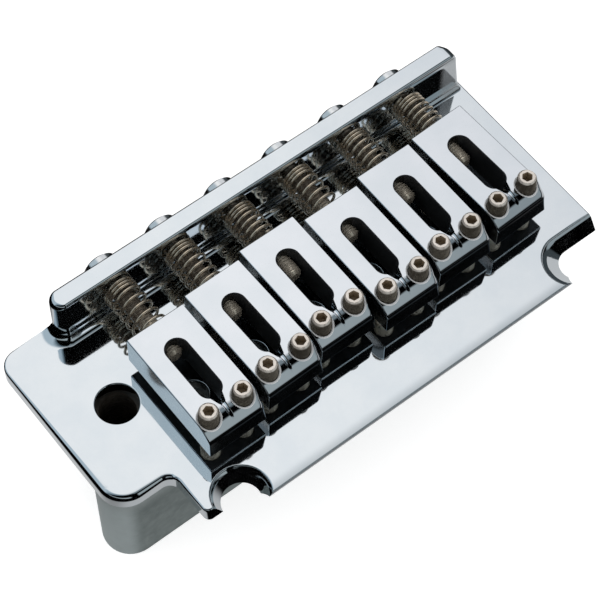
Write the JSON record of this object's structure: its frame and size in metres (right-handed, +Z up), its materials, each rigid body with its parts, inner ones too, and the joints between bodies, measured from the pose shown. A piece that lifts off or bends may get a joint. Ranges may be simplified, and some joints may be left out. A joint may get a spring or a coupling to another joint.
{
  "type": "guitar bridge",
  "caption": "Two-point tremolo bridge with a chromed base plate and rear flange, six block saddles on hex height screws, sprung intonation screws and a cast sustain block.",
  "frame": {"origin": "on the block's foot, under the gap between strings 3 and 4, midway through the block's thickness", "axes": "+X from the arm side to the bass side along the string spread, +Y rearwards to the flange, +Z up to the strings"},
  "size_m": [0.0855, 0.0433, 0.0296],
  "materials": {
    "plate_chrome": "polished chrome plate",
    "saddle_chrome": "polished chrome plate",
    "block_casting": "satin grey coat on a casting",
    "bush_brass": "dull, threaded inside",
    "screw_nickel": "warm nickel plate",
    "spring_wire": "dull drawn wire"
  },
  "bodies": {
    "bridge_base": {"base_plate": "plate_chrome", "sustain_block": "block_casting", "arm_bush": "bush_brass", "block_screws": "screw_nickel"},
    "spring_1": {"spring_1": "spring_wire"},
    "saddle_1": {"saddle_1": "saddle_chrome"},
    "intonation_screw_1": {"intonation_screw_1": "screw_nickel"},
    "height_screw_1_left": {"height_screw_1_left": "screw_nickel"},
    "height_screw_1_right": {"height_screw_1_right": "screw_nickel"},
    "spring_2": {"spring_2": "spring_wire"},
    "saddle_2": {"saddle_2": "saddle_chrome"},
    "intonation_screw_2": {"intonation_screw_2": "screw_nickel"},
    "height_screw_2_left": {"height_screw_2_left": "screw_nickel"},
    "height_screw_2_right": {"height_screw_2_right": "screw_nickel"},
    "spring_3": {"spring_3": "spring_wire"},
    "saddle_3": {"saddle_3": "saddle_chrome"},
    "intonation_screw_3": {"intonation_screw_3": "screw_nickel"},
    "height_screw_3_left": {"height_screw_3_left": "screw_nickel"},
    "height_screw_3_right": {"height_screw_3_right": "screw_nickel"},
    "spring_4": {"spring_4": "spring_wire"},
    "saddle_4": {"saddle_4": "saddle_chrome"},
    "intonation_screw_4": {"intonation_screw_4": "screw_nickel"},
    "height_screw_4_left": {"height_screw_4_left": "screw_nickel"},
    "height_screw_4_right": {"height_screw_4_right": "screw_nickel"},
    "spring_5": {"spring_5": "spring_wire"},
    "saddle_5": {"saddle_5": "saddle_chrome"},
    "intonation_screw_5": {"intonation_screw_5": "screw_nickel"},
    "height_screw_5_left": {"height_screw_5_left": "screw_nickel"},
    "height_screw_5_right": {"height_screw_5_right": "screw_nickel"},
    "spring_6": {"spring_6": "spring_wire"},
    "saddle_6": {"saddle_6": "saddle_chrome"},
    "intonation_screw_6": {"intonation_screw_6": "screw_nickel"},
    "height_screw_6_left": {"height_screw_6_left": "screw_nickel"},
    "height_screw_6_right": {"height_screw_6_right": "screw_nickel"}
  },
  "joints": [
    {"name": "saddle_1_height", "type": "hinge", "parent": "bridge_base", "child": "spring_1", "pos_m": [-0.027, 0.0214, 0.0246], "axis": [-1, 0, 0], "range_deg": [-2, 2]},
    {"name": "intonation_screw_1_turn", "type": "hinge", "parent": "spring_1", "child": "intonation_screw_1", "pos_m": [-0.027, 0.0231, 0.0246], "axis": [0, 1, 0], "range_deg": [-1560, 1560]},
    {"name": "saddle_1_intonation", "type": "slide", "parent": "spring_1", "child": "saddle_1", "axis": [0, 1, 0], "range_m": [-0.002, 0.002], "deforming": ["spring_1"]},
    {"name": "height_screw_1_left_drive", "type": "slide", "parent": "saddle_1", "child": "height_screw_1_left", "axis": [0, 0, 1], "range_m": [-0.0011, 0.0011]},
    {"name": "height_screw_1_right_drive", "type": "slide", "parent": "saddle_1", "child": "height_screw_1_right", "axis": [0, 0, 1], "range_m": [-0.0011, 0.0011]},
    {"name": "saddle_2_height", "type": "hinge", "parent": "bridge_base", "child": "spring_2", "pos_m": [-0.0162, 0.0214, 0.0246], "axis": [-1, 0, 0], "range_deg": [-2, 2]},
    {"name": "intonation_screw_2_turn", "type": "hinge", "parent": "spring_2", "child": "intonation_screw_2", "pos_m": [-0.0162, 0.0231, 0.0246], "axis": [0, 1, 0], "range_deg": [-1560, 1560]},
    {"name": "saddle_2_intonation", "type": "slide", "parent": "spring_2", "child": "saddle_2", "axis": [0, 1, 0], "range_m": [-0.002, 0.002], "deforming": ["spring_2"]},
    {"name": "height_screw_2_left_drive", "type": "slide", "parent": "saddle_2", "child": "height_screw_2_left", "axis": [0, 0, 1], "range_m": [-0.0011, 0.0011]},
    {"name": "height_screw_2_right_drive", "type": "slide", "parent": "saddle_2", "child": "height_screw_2_right", "axis": [0, 0, 1], "range_m": [-0.0011, 0.0011]},
    {"name": "saddle_3_height", "type": "hinge", "parent": "bridge_base", "child": "spring_3", "pos_m": [-0.0054, 0.0214, 0.0246], "axis": [-1, 0, 0], "range_deg": [-2, 2]},
    {"name": "intonation_screw_3_turn", "type": "hinge", "parent": "spring_3", "child": "intonation_screw_3", "pos_m": [-0.0054, 0.0231, 0.0246], "axis": [0, 1, 0], "range_deg": [-1560, 1560]},
    {"name": "saddle_3_intonation", "type": "slide", "parent": "spring_3", "child": "saddle_3", "axis": [0, 1, 0], "range_m": [-0.002, 0.002], "deforming": ["spring_3"]},
    {"name": "height_screw_3_left_drive", "type": "slide", "parent": "saddle_3", "child": "height_screw_3_left", "axis": [0, 0, 1], "range_m": [-0.0011, 0.0011]},
    {"name": "height_screw_3_right_drive", "type": "slide", "parent": "saddle_3", "child": "height_screw_3_right", "axis": [0, 0, 1], "range_m": [-0.0011, 0.0011]},
    {"name": "saddle_4_height", "type": "hinge", "parent": "bridge_base", "child": "spring_4", "pos_m": [0.0054, 0.0214, 0.0246], "axis": [-1, 0, 0], "range_deg": [-2, 2]},
    {"name": "intonation_screw_4_turn", "type": "hinge", "parent": "spring_4", "child": "intonation_screw_4", "pos_m": [0.0054, 0.0231, 0.0246], "axis": [0, 1, 0], "range_deg": [-1560, 1560]},
    {"name": "saddle_4_intonation", "type": "slide", "parent": "spring_4", "child": "saddle_4", "axis": [0, 1, 0], "range_m": [-0.002, 0.002], "deforming": ["spring_4"]},
    {"name": "height_screw_4_left_drive", "type": "slide", "parent": "saddle_4", "child": "height_screw_4_left", "axis": [0, 0, 1], "range_m": [-0.0011, 0.0011]},
    {"name": "height_screw_4_right_drive", "type": "slide", "parent": "saddle_4", "child": "height_screw_4_right", "axis": [0, 0, 1], "range_m": [-0.0011, 0.0011]},
    {"name": "saddle_5_height", "type": "hinge", "parent": "bridge_base", "child": "spring_5", "pos_m": [0.0162, 0.0214, 0.0246], "axis": [-1, 0, 0], "range_deg": [-2, 2]},
    {"name": "intonation_screw_5_turn", "type": "hinge", "parent": "spring_5", "child": "intonation_screw_5", "pos_m": [0.0162, 0.0231, 0.0246], "axis": [0, 1, 0], "range_deg": [-1560, 1560]},
    {"name": "saddle_5_intonation", "type": "slide", "parent": "spring_5", "child": "saddle_5", "axis": [0, 1, 0], "range_m": [-0.002, 0.002], "deforming": ["spring_5"]},
    {"name": "height_screw_5_left_drive", "type": "slide", "parent": "saddle_5", "child": "height_screw_5_left", "axis": [0, 0, 1], "range_m": [-0.0011, 0.0011]},
    {"name": "height_screw_5_right_drive", "type": "slide", "parent": "saddle_5", "child": "height_screw_5_right", "axis": [0, 0, 1], "range_m": [-0.0011, 0.0011]},
    {"name": "saddle_6_height", "type": "hinge", "parent": "bridge_base", "child": "spring_6", "pos_m": [0.027, 0.0214, 0.0246], "axis": [-1, 0, 0], "range_deg": [-2, 2]},
    {"name": "intonation_screw_6_turn", "type": "hinge", "parent": "spring_6", "child": "intonation_screw_6", "pos_m": [0.027, 0.0231, 0.0246], "axis": [0, 1, 0], "range_deg": [-1560, 1560]},
    {"name": "saddle_6_intonation", "type": "slide", "parent": "spring_6", "child": "saddle_6", "axis": [0, 1, 0], "range_m": [-0.002, 0.002], "deforming": ["spring_6"]},
    {"name": "height_screw_6_left_drive", "type": "slide", "parent": "saddle_6", "child": "height_screw_6_left", "axis": [0, 0, 1], "range_m": [-0.0011, 0.0011]},
    {"name": "height_screw_6_right_drive", "type": "slide", "parent": "saddle_6", "child": "height_screw_6_right", "axis": [0, 0, 1], "range_m": [-0.0011, 0.0011]}
  ],
  "couplings": [
    {"joint": "intonation_screw_1_turn", "follows": "saddle_1_intonation", "rad_per_m": -12566},
    {"joint": "height_screw_1_left_drive", "follows": "saddle_1_height", "m_per_rad": -0.028},
    {"joint": "height_screw_1_right_drive", "follows": "saddle_1_height", "m_per_rad": -0.028},
    {"joint": "intonation_screw_2_turn", "follows": "saddle_2_intonation", "rad_per_m": -12566},
    {"joint": "height_screw_2_left_drive", "follows": "saddle_2_height", "m_per_rad": -0.02705},
    {"joint": "height_screw_2_right_drive", "follows": "saddle_2_height", "m_per_rad": -0.02705},
    {"joint": "intonation_screw_3_turn", "follows": "saddle_3_intonation", "rad_per_m": -12566},
    {"joint": "height_screw_3_left_drive", "follows": "saddle_3_height", "m_per_rad": -0.0259},
    {"joint": "height_screw_3_right_drive", "follows": "saddle_3_height", "m_per_rad": -0.0259},
    {"joint": "intonation_screw_4_turn", "follows": "saddle_4_intonation", "rad_per_m": -12566},
    {"joint": "height_screw_4_left_drive", "follows": "saddle_4_height", "m_per_rad": -0.02745},
    {"joint": "height_screw_4_right_drive", "follows": "saddle_4_height", "m_per_rad": -0.02745},
    {"joint": "intonation_screw_5_turn", "follows": "saddle_5_intonation", "rad_per_m": -12566},
    {"joint": "height_screw_5_left_drive", "follows": "saddle_5_height", "m_per_rad": -0.0264},
    {"joint": "height_screw_5_right_drive", "follows": "saddle_5_height", "m_per_rad": -0.0264},
    {"joint": "intonation_screw_6_turn", "follows": "saddle_6_intonation", "rad_per_m": -12566},
    {"joint": "height_screw_6_left_drive", "follows": "saddle_6_height", "m_per_rad": -0.02585},
    {"joint": "height_screw_6_right_drive", "follows": "saddle_6_height", "m_per_rad": -0.02585}
  ]
}
